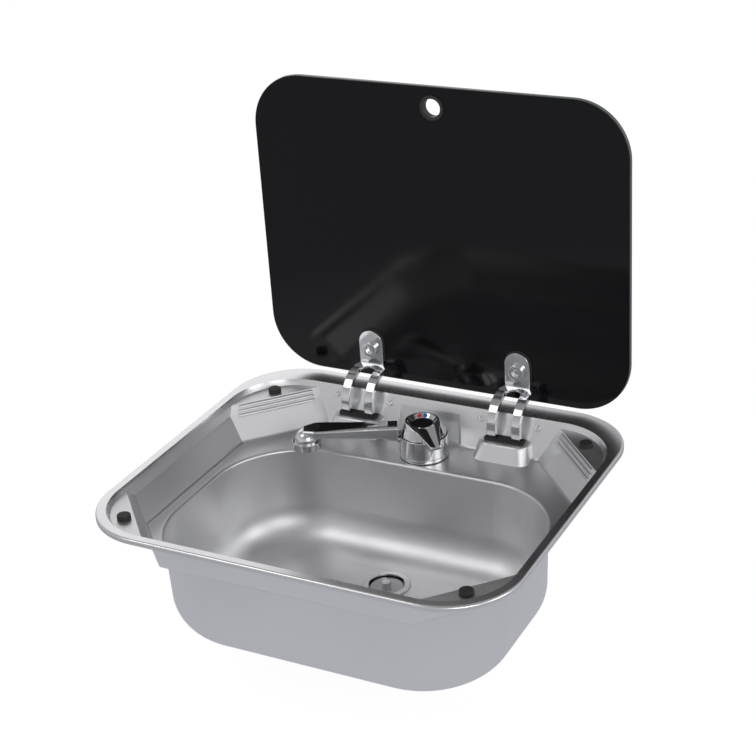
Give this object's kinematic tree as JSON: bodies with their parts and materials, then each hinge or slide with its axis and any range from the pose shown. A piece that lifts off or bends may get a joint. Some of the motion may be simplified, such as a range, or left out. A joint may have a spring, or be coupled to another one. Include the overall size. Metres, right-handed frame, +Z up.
{
  "type": "caravan sink with glass lid",
  "caption": "Drop-in satin steel sink for a caravan, with a hinged dark glass lid on goosenecks, a low swivelling mixer tap and a basket waste.",
  "frame": {"origin": "centre of the rectangular rim, at the height of the rim's flat top face; the worktop's top face is 4.8 mm lower", "axes": "+Z up; +Y from the user towards the hinges and the tap; +X to the user's right, along the hinge line"},
  "size_m": [0.42, 0.3757, 0.5102],
  "materials": {
    "steel_satin": "satin pressed stainless steel",
    "steel_plain": "plain zinc-plated or stainless steel",
    "chrome_bright": "bright chrome plate",
    "glass_dark": "dark tinted toughened glass, ground edges",
    "rubber_black": "soft black rubber",
    "black_plastic": "glossy black plastic",
    "grey_plastic": "clear-grey moulded plastic",
    "red_mark": "red plastic",
    "blue_mark": "blue plastic",
    "brass_nut": "plain brass",
    "copper_tail": "copper tube"
  },
  "bodies": {
    "sink": {"sink_shell": "steel_satin", "rim_seal": "rubber_black", "lid_bumpers": "rubber_black", "hinge_pin_left": "steel_plain", "hinge_pin_right": "steel_plain", "hinge_bracket_left": "steel_plain", "hinge_bracket_right": "steel_plain", "slot_gasket_left": "rubber_black", "slot_gasket_right": "rubber_black", "hinge_screws": "chrome_bright", "tap_gasket": "rubber_black", "tap_body": "chrome_bright", "tap_orings": "rubber_black", "tap_washer": "steel_plain", "tap_nut": "brass_nut", "inlet_tail_hot": "copper_tail", "inlet_tail_cold": "copper_tail", "cartridge": "grey_plastic", "cartridge_ring": "chrome_bright", "waste_flange": "steel_satin", "waste_gasket": "rubber_black", "waste_body": "black_plastic", "waste_spigot": "black_plastic", "drain_screw": "steel_plain"},
    "lid": {"glass_lid": "glass_dark", "finger_grommet": "grey_plastic", "hinge_arm_left": "chrome_bright", "hinge_pad_left": "rubber_black", "clamp_screw_left": "chrome_bright", "cap_washer_left": "rubber_black", "clamp_cap_left": "chrome_bright", "hinge_arm_right": "chrome_bright", "hinge_pad_right": "rubber_black", "clamp_screw_right": "chrome_bright", "cap_washer_right": "rubber_black", "clamp_cap_right": "chrome_bright"},
    "spout": {"spout": "chrome_bright", "spout_inlay": "black_plastic", "aerator": "chrome_bright"},
    "lever_base": {"lever_spindle": "steel_plain", "lever_yoke": "steel_plain", "lever_pin": "steel_plain"},
    "lever": {"control_lever": "chrome_bright", "lever_inlay": "black_plastic", "hot_mark": "red_mark", "cold_mark": "blue_mark"},
    "plug": {"drain_plug": "steel_satin", "plug_knob": "chrome_bright", "plug_seal": "rubber_black"}
  },
  "joints": [
    {"name": "lid_hinge", "type": "hinge", "parent": "sink", "child": "lid", "pos_m": [0, 0.1689, -0.012], "axis": [1, 0, 0], "range_deg": [0, 90]},
    {"name": "spout_swivel", "type": "hinge", "parent": "sink", "child": "spout", "pos_m": [0.0055, 0.1155, -0.02], "axis": [0, 0, 1], "range_deg": [-8, 40]},
    {"name": "lever_turn", "type": "hinge", "parent": "sink", "child": "lever_base", "pos_m": [0.0055, 0.1155, -0.02], "axis": [0, 0, 1], "range_deg": [-25, 25]},
    {"name": "lever_lift", "type": "hinge", "parent": "lever_base", "child": "lever", "pos_m": [0.00118, 0.11967, -0.0105], "axis": [0.6947, 0.7193, 0], "range_deg": [-18, 0]},
    {"name": "plug_lift", "type": "slide", "parent": "sink", "child": "plug", "axis": [0, 0, 1], "range_m": [0, 0.025]}
  ]
}
